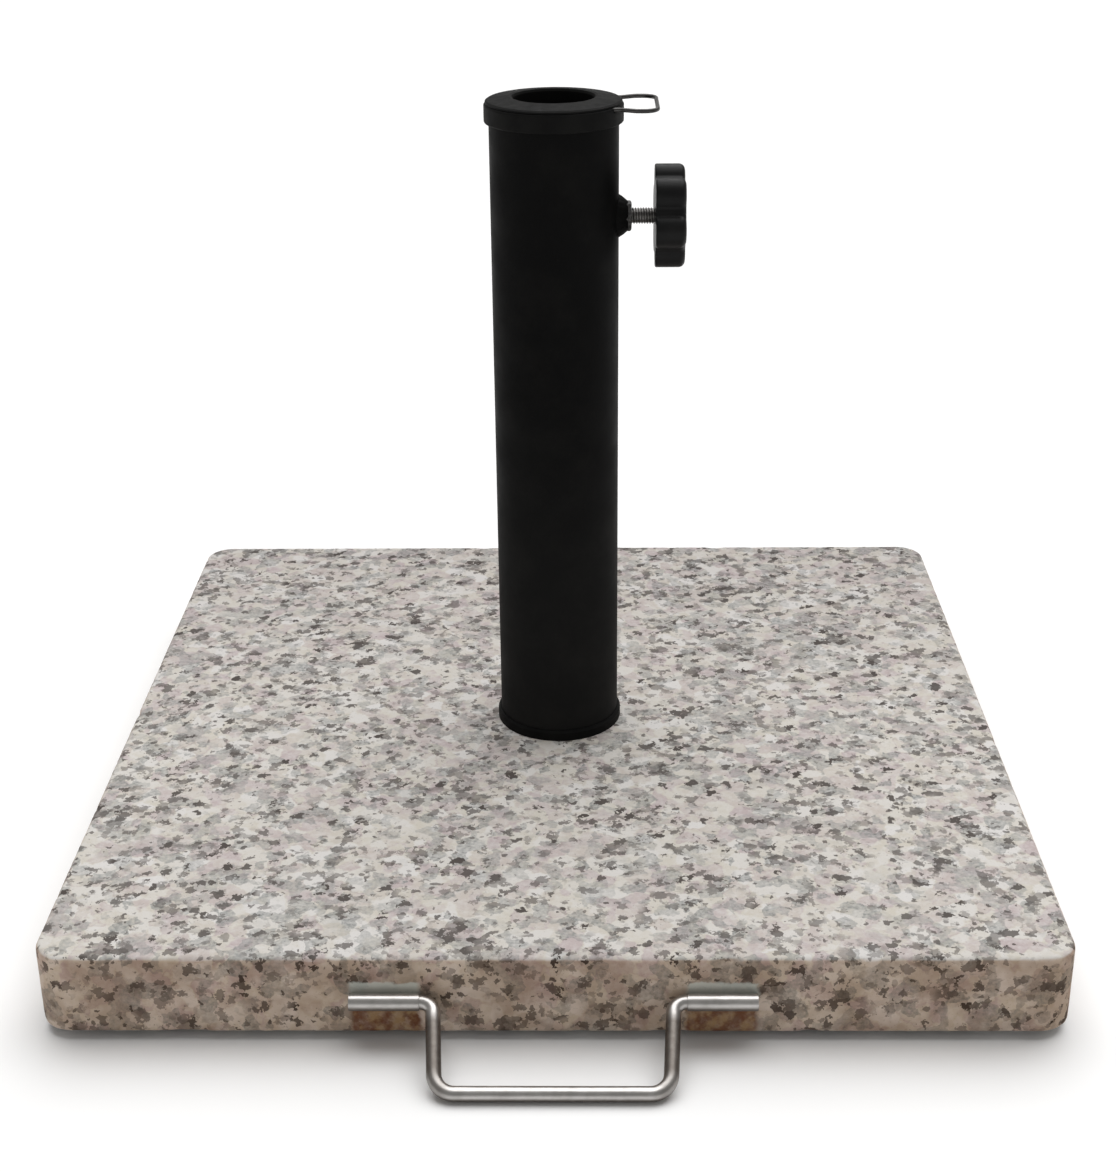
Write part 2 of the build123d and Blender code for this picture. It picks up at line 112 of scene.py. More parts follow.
# the six faces of a box whose corners are counted over x, then y, then z
BOX_FACES = [(0, 1, 3, 2), (4, 6, 7, 5), (0, 4, 5, 1), (2, 3, 7, 6), (0, 2, 6, 4), (1, 5, 7, 3)]


def grid_faces(rows, columns, wrap):
    """Quads over a grid of rows x columns points, joined round each row if wrap."""
    last = columns if wrap else columns - 1
    return [(r * columns + c, r * columns + (c + 1) % columns,
             (r + 1) * columns + (c + 1) % columns, (r + 1) * columns + c)
            for r in range(rows - 1) for c in range(last)]


def frame_of(axis):
    """Two unit vectors that make a right-handed set (u, v, axis)."""
    w = Vector(axis).normalized()
    helper = Vector((0, 0, 1)) if abs(w.z) < 0.9 else Vector((0, 1, 0))
    u = helper.cross(w).normalized()
    return u, w.cross(u), w


def ring_points(profile, origin, axis, segments):
    """A ring of points round the axis for each (radius, height) of the outline."""
    u, v, w = frame_of(axis)
    angles = [2 * math.pi * i / segments for i in range(segments)]
    return [Vector(origin) + w * height + (u * math.cos(a) + v * math.sin(a)) * radius
            for radius, height in profile for a in angles]


def turned(profile, origin, axis, segments=FINE):
    """A closed shell turned round an axis from a closed outline of (radius, height) points."""
    verts = ring_points(profile, origin, axis, segments)
    faces = grid_faces(len(profile) + 1, segments, True)
    return verts, [tuple(i % len(verts) for i in face) for face in faces]


def solid_turned(profile, origin, axis, segments=FINE):
    """A closed shell turned from an open outline whose two ends lie on the axis."""
    w = frame_of(axis)[2]
    verts = [Vector(origin) + w * profile[0][1]]
    verts += ring_points(profile[1:-1], origin, axis, segments)
    verts.append(Vector(origin) + w * profile[-1][1])
    rings = len(profile) - 2
    last = len(verts) - 1
    faces = [(0, 1 + (i + 1) % segments, 1 + i) for i in range(segments)]
    faces += [tuple(1 + k for k in face) for face in grid_faces(rings, segments, True)]
    top = 1 + (rings - 1) * segments
    faces += [(last, top + i, top + (i + 1) % segments) for i in range(segments)]
    return verts, [tuple(reversed(face)) for face in faces]


def rounded(corners, radii, steps):
    """Points along straight runs with an arc of the given radius at each inner corner."""
    corners = [Vector(c) for c in corners]
    points = [corners[0]]
    for before, corner, after, radius in zip(corners, corners[1:], corners[2:], radii):
        a = (before - corner).normalized()
        b = (after - corner).normalized()
        half = a.angle(b) / 2
        bisector = (a + b).normalized()
        middle = corner + bisector * (radius / math.sin(half))
        start = corner + a * (radius / math.tan(half)) - middle
        turn = math.pi - 2 * half
        spin = start.cross(b - a).normalized()
        for i in range(steps + 1):
            points.append(middle + Matrix.Rotation(turn * i / steps, 3, spin) @ start)
    return points + [corners[-1]]


def divided(points, longest):
    """The same path with long runs cut into equal shorter ones."""
    out = [points[0]]
    for a, b in zip(points, points[1:]):
        count = max(1, math.ceil((b - a).length / longest))
        out += [a.lerp(b, (i + 1) / count) for i in range(count)]
    return out


def rod_along(points, radius, sides, end_ease=0.12):
    """A round bar along a path, with eased square-cut ends."""
    tangents = [(b - a).normalized() for a, b in zip(points, points[1:])]
    between = [(a + b).normalized() for a, b in zip(tangents, tangents[1:])]
    tangents = [tangents[0]] + between + [tangents[-1]]
    u = frame_of(tangents[0])[0]
    ease = radius * end_ease
    stations = [(points[0], radius - ease), (points[0] + tangents[0] * ease, radius)]
    directions = [tangents[0], tangents[0]]
    for point, tangent in zip(points[1:-1], tangents[1:-1]):
        stations.append((point, radius))
        directions.append(tangent)
    stations += [(points[-1] - tangents[-1] * ease, radius), (points[-1], radius - ease)]
    directions += [tangents[-1], tangents[-1]]
    verts = []
    for (point, r), tangent in zip(stations, directions):
        u = (u - tangent * u.dot(tangent)).normalized()
        v = tangent.cross(u)
        verts += [point + (u * math.cos(a) + v * math.sin(a)) * r
                  for a in (2 * math.pi * i / sides for i in range(sides))]
    faces = grid_faces(len(stations), sides, True)
    faces.append(tuple(reversed(range(sides))))
    faces.append(tuple(range(len(verts) - sides, len(verts))))
    return verts, faces


def hexagon_ring(across_flats, length, bore, origin, axis, corner_at, chamfer=0.55 * MM, steps=8):
    """A hexagon nut or head: flats, corners cut back by a cone at both ends, and a bore (0 for none).
    corner_at is the direction of one corner."""
    u, w = Vector(corner_at), Vector(axis)
    v = w.cross(u)
    segments = 6 * steps
    inner_flat = across_flats / 2

    def flat_radius(angle):
        """How far the flats stand from the middle; the nearest corner is local radians away."""
        local = (angle + math.pi / 6) % (math.pi / 3) - math.pi / 6
        return inner_flat / math.cos(math.pi / 6 - abs(local))

    face_r = inner_flat - chamfer * 0.3
    slope = 0.577                # of the cone that cuts the corners back, about 30 degrees
    rings = []
    if bore:
        rings.append([(bore, 0.0)] * segments)
    rings.append([(face_r, 0.0)] * segments)
    edge = []
    for i in range(segments):
        r = flat_radius(2 * math.pi * i / segments)
        edge.append((r, max(0.0, (r - face_r) * slope)))
    rings.append(edge)
    rings.append([(r, length - h) for r, h in edge])
    rings.append([(face_r, length)] * segments)
    if bore:
        rings.append([(bore, length)] * segments)
    verts = []
    for ring in rings:
        for i, (r, h) in enumerate(ring):
            angle = 2 * math.pi * i / segments
            verts.append(Vector(origin) + w * h + (u * math.cos(angle) + v * math.sin(angle)) * r)
    faces = grid_faces(len(rings), segments, True)
    if bore:
        first, last = 0, (len(rings) - 1) * segments
        faces += [(last + i, last + (i + 1) % segments, first + (i + 1) % segments, first + i)
                  for i in range(segments)]
    else:
        faces.append(tuple(reversed(range(segments))))
        faces.append(tuple(range(len(verts) - segments, len(verts))))
    return verts, faces


# ------------------------------------------------------------------ material helpers
class Shader:
    """Short names for the nodes that the materials are made of."""

    def __init__(self, name):
        self.material = bpy.data.materials.new(name)
        self.material.use_nodes = True
        self.tree = self.material.node_tree
        self.out = self.tree.nodes["Principled BSDF"]
        coordinates = self.node("ShaderNodeTexCoord")
        self.place = coordinates.outputs["Object"]
        self.facing = coordinates.outputs["Normal"]

    def node(self, kind, **settings):
        made = self.tree.nodes.new(kind)
        for key, value in settings.items():
            setattr(made, key, value)
        return made

    def link(self, source, target):
        self.tree.links.new(source, target)

    def put(self, target, value):
        if isinstance(value, bpy.types.NodeSocket):
            self.link(value, target)
        else:
            target.default_value = value

    def noise(self, scale, detail=3.0, rough=0.55, at=None, out="Fac"):
        made = self.node("ShaderNodeTexNoise")
        made.inputs["Scale"].default_value = scale
        made.inputs["Detail"].default_value = detail
        made.inputs["Roughness"].default_value = rough
        self.link(at or self.place, made.inputs["Vector"])
        return made.outputs[out]

    def cells(self, scale, at, soft):
        """Three independent random values for each grain, blended a little into its neighbours'."""
        made = self.node("ShaderNodeTexVoronoi", feature="SMOOTH_F1")
        made.inputs["Scale"].default_value = scale
        made.inputs["Smoothness"].default_value = soft
        self.link(at, made.inputs["Vector"])
        values = self.node("ShaderNodeSeparateColor")
        self.link(made.outputs["Color"], values.inputs["Color"])
        return values.outputs["Red"], values.outputs["Green"], values.outputs["Blue"]

    def xyz(self, vector):
        made = self.node("ShaderNodeSeparateXYZ")
        self.link(vector, made.inputs[0])
        return made.outputs["X"], made.outputs["Y"], made.outputs["Z"]

    def math(self, operation, a, b=0.0):
        made = self.node("ShaderNodeMath", operation=operation)
        self.put(made.inputs[0], a)
        self.put(made.inputs[1], b)
        return made.outputs[0]

    def range(self, value, low, high, to_low=0.0, to_high=1.0, smooth=False):
        made = self.node("ShaderNodeMapRange", interpolation_type="SMOOTHSTEP" if smooth else "LINEAR")
        self.put(made.inputs["Value"], value)
        for key, number in (("From Min", low), ("From Max", high), ("To Min", to_low), ("To Max", to_high)):
            made.inputs[key].default_value = number
        return made.outputs["Result"]

    def mix(self, share, a, b, blend="MIX"):
        made = self.node("ShaderNodeMix", data_type="RGBA", blend_type=blend)
        self.put(made.inputs["Factor"], share)
        self.put(made.inputs["A"], a)
        self.put(made.inputs["B"], b)
        return made.outputs["Result"]

    def ramp(self, value, stops):
        made = self.node("ShaderNodeValToRGB")
        made.color_ramp.interpolation = "LINEAR"
        while len(made.color_ramp.elements) < len(stops):
            made.color_ramp.elements.new(0.5)
        for element, (place, colour) in zip(made.color_ramp.elements, stops):
            element.position = place
            element.color = colour
        self.link(value, made.inputs["Fac"])
        return made.outputs["Color"]

    def scaled(self, x, y, z):
        made = self.node("ShaderNodeMapping")
        made.inputs["Scale"].default_value = (x, y, z)
        self.link(self.place, made.inputs["Vector"])
        return made.outputs["Vector"]

    def shifted(self, amount, scale):
        """The place moved about by a noise of that scale, to make straight edges ragged."""
        wobble = self.noise(scale, 2.0, 0.6, out="Color")
        centred = self.node("ShaderNodeVectorMath", operation="SUBTRACT")
        self.link(wobble, centred.inputs[0])
        centred.inputs[1].default_value = (0.5, 0.5, 0.5)
        grown = self.node("ShaderNodeVectorMath", operation="SCALE")
        self.link(centred.outputs[0], grown.inputs[0])
        grown.inputs["Scale"].default_value = amount
        moved = self.node("ShaderNodeVectorMath", operation="ADD")
        self.link(self.place, moved.inputs[0])
        self.link(grown.outputs[0], moved.inputs[1])
        return moved.outputs[0]

    def bump(self, height, distance, strength):
        made = self.node("ShaderNodeBump")
        made.inputs["Strength"].default_value = strength
        made.inputs["Distance"].default_value = distance
        self.link(height, made.inputs["Height"])
        return made.outputs["Normal"]

    def finish(self, colour, roughness, normal=None, metal=0.0, **fixed):
        self.put(self.out.inputs["Base Color"], colour)
        self.put(self.out.inputs["Roughness"], roughness)
        self.out.inputs["Metallic"].default_value = metal
        if normal is not None:
            self.link(normal, self.out.inputs["Normal"])
        for key, value in fixed.items():
            self.out.inputs[key.replace("_", " ")].default_value = value
        return self.material


def rgb(r, g, b):
    return (r, g, b, 1.0)


# ------------------------------------------------------------------ materials
WHITE_FELDSPAR = rgb(0.608, 0.590, 0.574)
CREAM_FELDSPAR = rgb(0.530, 0.497, 0.436)
PINK_FELDSPAR = rgb(0.444, 0.378, 0.376)
QUARTZ = rgb(0.213, 0.222, 0.216)
BIOTITE = rgb(0.072, 0.061, 0.056)
# painted shade, multiplied on towards the stone's back edge
BACK_PAINTED_SHADE = rgb(0.865, 0.86, 0.865)
# side tints: partly the sawn finish, partly painted shade and warm reflected light
SAWN_AND_SHADE_PALE = rgb(1.0, 0.865, 0.76)
SAWN_AND_SHADE_BROWN = rgb(0.73, 0.59, 0.49)
# painted shadow under each strap, warmed as by bounce light
STRAP_SHADOW_PALE = rgb(0.30, 0.19, 0.10)
STRAP_SHADOW_DARK = rgb(0.15, 0.065, 0.035)
# painted reflected light: a pale band just above each strap
STRAP_REFLECTED_LIGHT = rgb(0.56, 0.58, 0.53)
DRAWN_LINES = (60.0, 900.0, 900.0)      # a noise stretched along X, like the lines on drawn metal
MOULD_GRAIN = 1400


def granite():
    """Grey-cream granite: large feldspar, grey quartz between it, and flakes of dark mica."""
    s = Shader("granite")
    tone, _, _ = s.cells(120, s.shifted(0.0060, 200), 0.25)
    body = s.ramp(tone, [(0.0, WHITE_FELDSPAR), (0.45, CREAM_FELDSPAR), (0.8, PINK_FELDSPAR),
                         (1.0, CREAM_FELDSPAR)])
    body = s.mix(s.range(s.noise(300, 4.0, 0.65), 0.40, 0.72, 0.0, 0.6), body, WHITE_FELDSPAR)
    # quartz: clear grey grains, paler where the stone behind them shows
    grey, depth, _ = s.cells(148, s.shifted(0.0055, 220), 0.2)
    drift = s.range(s.noise(36, 3.0), 0.3, 0.7, -0.055, 0.055)
    quartz = s.range(s.math("ADD", grey, drift), 0.52, 0.72, smooth=True)
    cloud = s.range(s.noise(520, 3.0, 0.6), 0.3, 0.7, 0.25, 0.95)
    body = s.mix(s.math("MULTIPLY", quartz, s.math("MULTIPLY", cloud, s.range(depth, 0.0, 1.0, 0.55, 1.0))),
                 body, QUARTZ)
    # mica: dark flakes in loose clusters, large ones and small ones
    cluster = s.range(s.noise(62, 2.0), 0.32, 0.68, -0.10, 0.085)
    flake, shade, _ = s.cells(225, s.shifted(0.0068, 400), 0.18)
    mica = s.range(s.math("ADD", flake, cluster), 0.70, 0.86, smooth=True)
    mica = s.math("MULTIPLY", mica, s.range(shade, 0.0, 1.0, 0.40, 0.98))
    chip, pale, _ = s.cells(430, s.shifted(0.0030, 520), 0.15)
    small = s.range(s.math("ADD", chip, cluster), 0.84, 0.93, smooth=True)
    small = s.math("MULTIPLY", small, s.range(pale, 0.0, 1.0, 0.25, 0.85))
    mica = s.math("MAXIMUM", mica, small)
    body = s.mix(mica, body, BIOTITE)
    body = s.mix(s.range(s.noise(1100, 3.0, 0.6), 0.60, 0.74, 0.0, 0.25), body, BIOTITE)
    # painted shade: the stone is darkened towards its back edge, standing in for light that falls off there
    body = s.mix(s.range(s.xyz(s.place)[1], -0.04, 0.20), body, BACK_PAINTED_SHADE, "MULTIPLY")
    return finish_granite(s, body, mica, quartz)


def strap_zone(s, z0, z1, edge):
    """A share that is 1 on the slab's front face by the handle's straps, from height z0 to z1."""
    x, y, z = s.xyz(s.shifted(0.0035, 260))
    strap_low, strap_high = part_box("handle_strap_right")
    slab_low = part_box("granite_slab")[0]
    across = s.math("ABSOLUTE", s.math("SUBTRACT", s.math("ABSOLUTE", x), (strap_low.x + strap_high.x) / 2))
    half = (strap_high.x - strap_low.x) / 2
    zone = s.range(across, half - 1.5 * MM, half + 1.5 * MM, 1.0, 0.0, smooth=True)
    zone = s.math("MULTIPLY", zone, s.range(z, z0 - edge, z0 + edge, 0.0, 1.0, smooth=True))
    zone = s.math("MULTIPLY", zone, s.range(z, z1 - edge, z1 + edge, 1.0, 0.0, smooth=True))
    return s.math("MULTIPLY", zone, s.range(y, slab_low.y + 3 * MM, slab_low.y + 8 * MM, 1.0, 0.0))


def finish_granite(s, body, mica, quartz):
    """Sides darker and warmer than the flamed top, partly the sawn finish and partly painted shade and warm
    reflected light; painted shadow below the handle's straps and painted reflected light above them.
    """
    # partly painted shade: the sides are tinted darker and warmer, for the sawn finish and for the shade and warm
    # reflected light they get
    side = s.range(s.math("ABSOLUTE", s.xyz(s.facing)[2]), 0.5, 0.85, 1.0, 0.0, smooth=True)
    drift = s.range(s.noise(44, 3.0, 0.6), 0.36, 0.62, smooth=True)
    body = s.mix(side, body, s.mix(drift, SAWN_AND_SHADE_PALE, SAWN_AND_SHADE_BROWN), "MULTIPLY")
    # painted shadow: an orange-brown patch below each strap, with warm bounce light in it
    strap_shadow = s.mix(s.range(s.noise(170, 3.0), 0.38, 0.60, smooth=True), STRAP_SHADOW_PALE, STRAP_SHADOW_DARK)
    thin = s.range(s.noise(240, 3.0), 0.3, 0.6, 0.65, 1.0)
    # the painted shadow reaches 30 mm down from the handle's pivot
    runs = strap_zone(s, PIVOT.z - 30 * MM, PIVOT.z, 1.0 * MM)
    body = s.mix(s.math("MULTIPLY", runs, thin), body, strap_shadow)
    # painted reflected light: a pale grey-green band just above each strap, as thrown up by the rod
    reflected_band = strap_zone(s, PIVOT.z, PIVOT.z + 6.8 * MM, 0.7 * MM)
    body = s.mix(s.math("MULTIPLY", reflected_band, 0.8), body, STRAP_REFLECTED_LIGHT)
    rough = s.range(quartz, 0.0, 1.0, 0.78, 0.62)
    relief = s.math("ADD", s.noise(600, 4.0, 0.65), s.math("MULTIPLY", mica, -0.6))
    return s.finish(body, rough, s.bump(relief, 0.00022, 0.5), Specular_IOR_Level=0.03)


def powder_coat():
    """Black powder coat, a little dusty, and paler near the stone with painted light bounced up from it."""
    s = Shader("powder_coat_black")
    peel = s.noise(520, 2.0, 0.5)
    dust = s.range(s.noise(38, 5.0, 0.65), 0.45, 0.75)
    colour = s.mix(dust, rgb(0.0046, 0.0046, 0.0046), rgb(0.0076, 0.0074, 0.0070))
    # painted light: the coat is paler low down, for light bounced up from the stone
    painted_bounce = s.range(s.xyz(s.place)[2], 0.06, 0.25, 1.0, 0.0, smooth=True)
    colour = s.mix(painted_bounce, colour, s.mix(dust, rgb(0.0120, 0.0120, 0.0119), rgb(0.0165, 0.0162, 0.0156)))
    rough = s.range(s.noise(60, 3.0), 0.3, 0.7, 0.48, 0.62)
    return s.finish(colour, rough, s.bump(peel, 0.00012, 0.35), Specular_IOR_Level=0.03)


def rubbed_coat():
    """The same coat where a spanner has rubbed it: steel shows through in patches."""
    s = Shader("powder_coat_rubbed")
    bare = s.range(s.noise(420, 4.0, 0.6), 0.36, 0.60, 0.25, 1.0, smooth=True)
    colour = s.mix(bare, rgb(0.010, 0.010, 0.010), rgb(0.085, 0.082, 0.080))
    rough = s.range(bare, 0.0, 1.0, 0.55, 0.38)
    return s.finish(colour, rough, s.bump(s.noise(700, 3.0), 0.0001, 0.4), Specular_IOR_Level=0.25)


def moulded(name, colour, worn, roughness, shine):
    """Moulded plastic with a fine grain, worn paler in patches."""
    s = Shader(name)
    shade = s.mix(s.range(s.noise(70, 4.0), 0.35, 0.7), colour, worn)
    rough = s.range(s.noise(240, 3.0), 0.3, 0.7, roughness - 0.05, roughness + 0.07)
    return s.finish(shade, rough, s.bump(s.noise(MOULD_GRAIN, 2.0), 0.00006, 0.5), Specular_IOR_Level=shine)


def plated(name, colour, darkened, roughness):
    """Bright metal with fine lines along X."""
    s = Shader(name)
    lines = s.noise(1.0, 3.0, 0.6, s.scaled(*DRAWN_LINES))
    patches = s.noise(180, 3.0)
    shade = s.mix(s.range(patches, 0.4, 0.72), colour, darkened)
    rough = s.math("ADD", s.range(lines, 0.3, 0.7, roughness - 0.05, roughness + 0.06),
                   s.range(patches, 0.45, 0.8, 0.0, 0.09))
    return s.finish(shade, rough, s.bump(lines, 0.00002, 0.35), metal=1.0)


def stainless():
    """Drawn bright rod, with painted shade underneath and along the legs of the handle, for the dark surroundings
    they reflect.
    """
    s = Shader("stainless_rod")
    lines = s.noise(1.0, 3.0, 0.6, s.scaled(*DRAWN_LINES))
    patches = s.noise(180, 3.0)
    bright = s.mix(s.range(patches, 0.4, 0.72), rgb(0.50, 0.485, 0.47), rgb(0.40, 0.385, 0.37))
    # painted shade: the rod's underside is darkened, for the dark surroundings it reflects
    underneath = s.range(s.xyz(s.facing)[2], -0.35, 0.15, 1.0, 0.0, smooth=True)
    x, y, _ = s.xyz(s.place)
    grip_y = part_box("handle")[0].y
    # painted shade: the legs are darkened as well, for the dark surroundings in front of them
    leg = s.range(y, PIVOT.y - 11 * MM, PIVOT.y - 5 * MM, 1.0, 0.0, smooth=True)
    leg = s.math("MULTIPLY", leg, s.range(s.math("ABSOLUTE", x), 41 * MM, 47 * MM, smooth=True))
    leg = s.math("MULTIPLY", leg, s.range(y, grip_y + 6 * MM, grip_y + 11 * MM, 0.55, 1.0, smooth=True))
    darkened = s.math("MAXIMUM", leg, underneath)
    darkened = s.math("MULTIPLY", darkened, s.range(s.noise(420, 3.0), 0.3, 0.7, 0.86, 1.0))
    # the painted shade colour, a little rougher
    shade = s.mix(darkened, bright, rgb(0.150, 0.132, 0.118))
    rough = s.math("ADD", s.range(lines, 0.3, 0.7, 0.29, 0.38), s.math("MULTIPLY", darkened, 0.10))
    return s.finish(shade, rough, s.bump(lines, 0.00002, 0.35), metal=1.0)


def rubber(name, colour):
    """Dull black rubber with dust in its grain."""
    s = Shader(name)
    dust = s.range(s.noise(90, 5.0, 0.7), 0.5, 0.8)
    shade = s.mix(dust, colour, rgb(0.055, 0.052, 0.048))
    return s.finish(shade, s.range(s.noise(300, 3.0), 0.3, 0.7, 0.72, 0.9),
                    s.bump(s.noise(1100, 3.0), 0.0001, 0.5), Specular_IOR_Level=0.3)


MATERIALS = {
    "granite": granite(),
    "black_coat": powder_coat(),
    "rubbed_coat": rubbed_coat(),
    "black_plastic": moulded("plastic_black", rgb(0.0050, 0.0050, 0.0050), rgb(0.0085, 0.0085, 0.008),
                             0.58, 0.05),
    "knob_plastic": moulded("plastic_knob", rgb(0.0065, 0.0065, 0.0068), rgb(0.011, 0.011, 0.011),
                            0.4, 0.10),
    "zinc_plate": plated("zinc_plated", rgb(0.27, 0.262, 0.255), rgb(0.16, 0.155, 0.15), 0.33),
    "stainless": stainless(),
    "spring_wire": plated("spring_wire", rgb(0.066, 0.064, 0.062), rgb(0.042, 0.041, 0.040), 0.32),
    "grey_nylon": moulded("nylon_grey", rgb(0.16, 0.16, 0.158), rgb(0.22, 0.215, 0.21), 0.5, 0.3),
    "tyre": rubber("tyre_rubber", rgb(0.016, 0.016, 0.016)),
    "rubber": rubber("foot_rubber", rgb(0.02, 0.02, 0.02)),
}


def dress(piece, slot):
    """Gives a piece or a CAD node the material of a slot."""
    if piece.data.materials:
        for place in piece.material_slots:
            place.material = MATERIALS[slot]
    else:
        piece.data.materials.append(MATERIALS[slot])
    return piece


for node_name, node_object in NODES.items():
    dress(node_object, SLOT_OF[node_name])


# ------------------------------------------------------------------ stone
SLAB_LOW, SLAB_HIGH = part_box("granite_slab")
SLAB_CORNER_R = 15 * MM
TOP_EASE = 2.5 * MM
BOTTOM_EASE = 1.5 * MM
RECESS_R = 26 * MM               # room for a socket wrench on the bolt's head
POCKET_Y = 198.5 * MM            # the rollers' pockets: front wall, roof and half width
POCKET_TOP = 36.5 * MM
POCKET_HALF = 15.5 * MM


def slab_outline(step):
    """Points round the slab's plan, each with its outward direction."""
    half = SLAB_HIGH.x
    reach = half - SLAB_CORNER_R
    points = []
    for turn in range(4):
        out = Vector((math.cos(turn * math.pi / 2), math.sin(turn * math.pi / 2), 0))
        along = Vector((-out.y, out.x, 0))
        count = round(2 * reach / step)
        points += [(out * half + along * (-reach + 2 * reach * i / count), out) for i in range(count)]
        bends = round(SLAB_CORNER_R * math.pi / 2 / step)
        for i in range(bends):
            angle = math.pi / 2 * i / bends
            direction = out * math.cos(angle) + along * math.sin(angle)
            points.append(((out + along) * reach + direction * SLAB_CORNER_R, direction))
    return points


def slab_rows():
    """The slab's profile from just inside the top's edge, down the side, to just inside the
    underside's edge: inset, height, tilt of the surface, and how much that row is worn."""
    top, bottom = SLAB_HIGH.z, SLAB_LOW.z
    rows = [(12 * MM, top, 90, 0.0), (9 * MM, top, 90, 0.0), (6 * MM, top, 90, 0.10),
            (4 * MM, top, 90, 0.35)]
    for tilt in range(90, -1, -15):
        a = math.radians(tilt)
        rows.append((TOP_EASE * (1 - math.cos(a)), top - TOP_EASE * (1 - math.sin(a)), tilt,
                     0.55 + 0.45 * math.sin(2 * a)))
    sides = 10
    first, last = top - TOP_EASE, bottom + BOTTOM_EASE
    rows += [(0.0, first + (last - first) * i / sides, 0, 0.30 + 0.25 * abs(2 * i / sides - 1) ** 3)
             for i in range(1, sides)]
    for tilt in range(0, -91, -30):
        a = math.radians(tilt)
        rows.append((BOTTOM_EASE * (1 - math.cos(a)), last + BOTTOM_EASE * math.sin(a), tilt, 0.8))
    return rows + [(5 * MM, bottom, -90, 0.2), (8 * MM, bottom, -90, 0.0), (11 * MM, bottom, -90, 0.0)]


def wear(point, share):
    """How far the stone has crumbled in at a point: a grainy edge with a chip here and there."""
    grain = 0.5 + 0.5 * noise.noise(point / (3.2 * MM))
    fine = 0.5 + 0.5 * noise.noise(point / (1.7 * MM))
    chip = max(0.0, noise.noise(point / (11 * MM)) - 0.30) * share
    return share * (0.30 * grain + 0.14 * fine) * MM + 1.6 * MM * chip


def worn_slab():
    """The slab's outer shell with its edges and sawn sides worn in."""
    outline = slab_outline(1.6 * MM)
    up = Vector((0, 0, 1))
    verts = []
    for inset, height, tilt, share in slab_rows():
        cos_tilt, sin_tilt = math.cos(math.radians(tilt)), math.sin(math.radians(tilt))
        for point, out in outline:
            place = point - out * inset + up * height
            verts.append(place - (out * cos_tilt + up * sin_tilt) * wear(place, share))
    count = len(outline)
    faces = grid_faces(len(verts) // count, count, True)
    faces += [tuple(range(count)), tuple(range(len(verts) - count, len(verts)))]
    return verts, faces


def carved(verts, faces, cutters):
    """What is left of a shell when the cutters are taken away from it."""
    scene = bpy.context.scene
    blocks = []
    for shell_verts, shell_faces in [(verts, faces)] + cutters:
        mesh = outward_mesh("stone", shell_verts, shell_faces)
        block = bpy.data.objects.new("stone", mesh)
        scene.collection.objects.link(block)
        blocks.append(block)
    for cutter in blocks[1:]:
        cut = blocks[0].modifiers.new("cut", "BOOLEAN")
        cut.operation = "DIFFERENCE"
        cut.solver = "EXACT"
        cut.object = cutter
    left = blocks[0].evaluated_get(bpy.context.evaluated_depsgraph_get()).to_mesh()
    result = [v.co.copy() for v in left.vertices], [tuple(p.vertices) for p in left.polygons]
    for block in blocks:
        bpy.data.objects.remove(block)
    return result


def box_shell(low, high):
    verts = [(x, y, z) for x in (low[0], high[0]) for y in (low[1], high[1]) for z in (low[2], high[2])]
    return verts, BOX_FACES


def slab():
    """The stone with the recess for the bolt's head and the two pockets for the rollers."""
    below = SLAB_LOW.z - 1 * MM
    recess_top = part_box("large_washer")[1].z
    cutters = [solid_turned([(0, below), (RECESS_R, below), (RECESS_R, recess_top), (0, recess_top)],
                            (0, 0, 0), (0, 0, 1))]
    for side in ("left", "right"):
        low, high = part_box(f"wheel_bracket_{side}")
        x = (low.x + high.x) / 2
        cutters.append(box_shell((x - POCKET_HALF, POCKET_Y, below),
                                 (x + POCKET_HALF, SLAB_HIGH.y + 1 * MM, POCKET_TOP)))
    verts, faces = carved(*worn_slab(), cutters)
    piece = make_piece("slab_stone", verts, faces, "base", ["granite_slab"])
    dress(soft_edges(piece, 50), "granite")


slab()


# ------------------------------------------------------------------ handle and its straps
ROD_R = 3.25 * MM
HANDLE_LOW, HANDLE_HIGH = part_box("handle")
LEG_X_TOP = 51.6 * MM
LEG_X_BOTTOM = 49.2 * MM
TOP_BEND_R = 5.5 * MM
GRIP_BEND_R = 9 * MM
STRAP_T = 0.5 * MM


def handle_rod():
    """One bent rod: a stub, a leg, the grip, the other leg and the other stub."""
    grip_y = HANDLE_LOW.y + ROD_R
    grip_z = HANDLE_LOW.z + ROD_R
    corners = [(HANDLE_LOW.x, PIVOT.y, PIVOT.z), (-LEG_X_TOP, PIVOT.y, PIVOT.z),
               (-LEG_X_BOTTOM, grip_y, grip_z), (LEG_X_BOTTOM, grip_y, grip_z),
               (LEG_X_TOP, PIVOT.y, PIVOT.z), (HANDLE_HIGH.x, PIVOT.y, PIVOT.z)]
    path = rounded(corners, [TOP_BEND_R, GRIP_BEND_R, GRIP_BEND_R, TOP_BEND_R], 16)
    rod = Builder()
    rod.add(*rod_along(divided(path, 4 * MM), ROD_R, 36))
    dress(rod.piece("handle_rod", "handle", ["handle"]), "stainless")


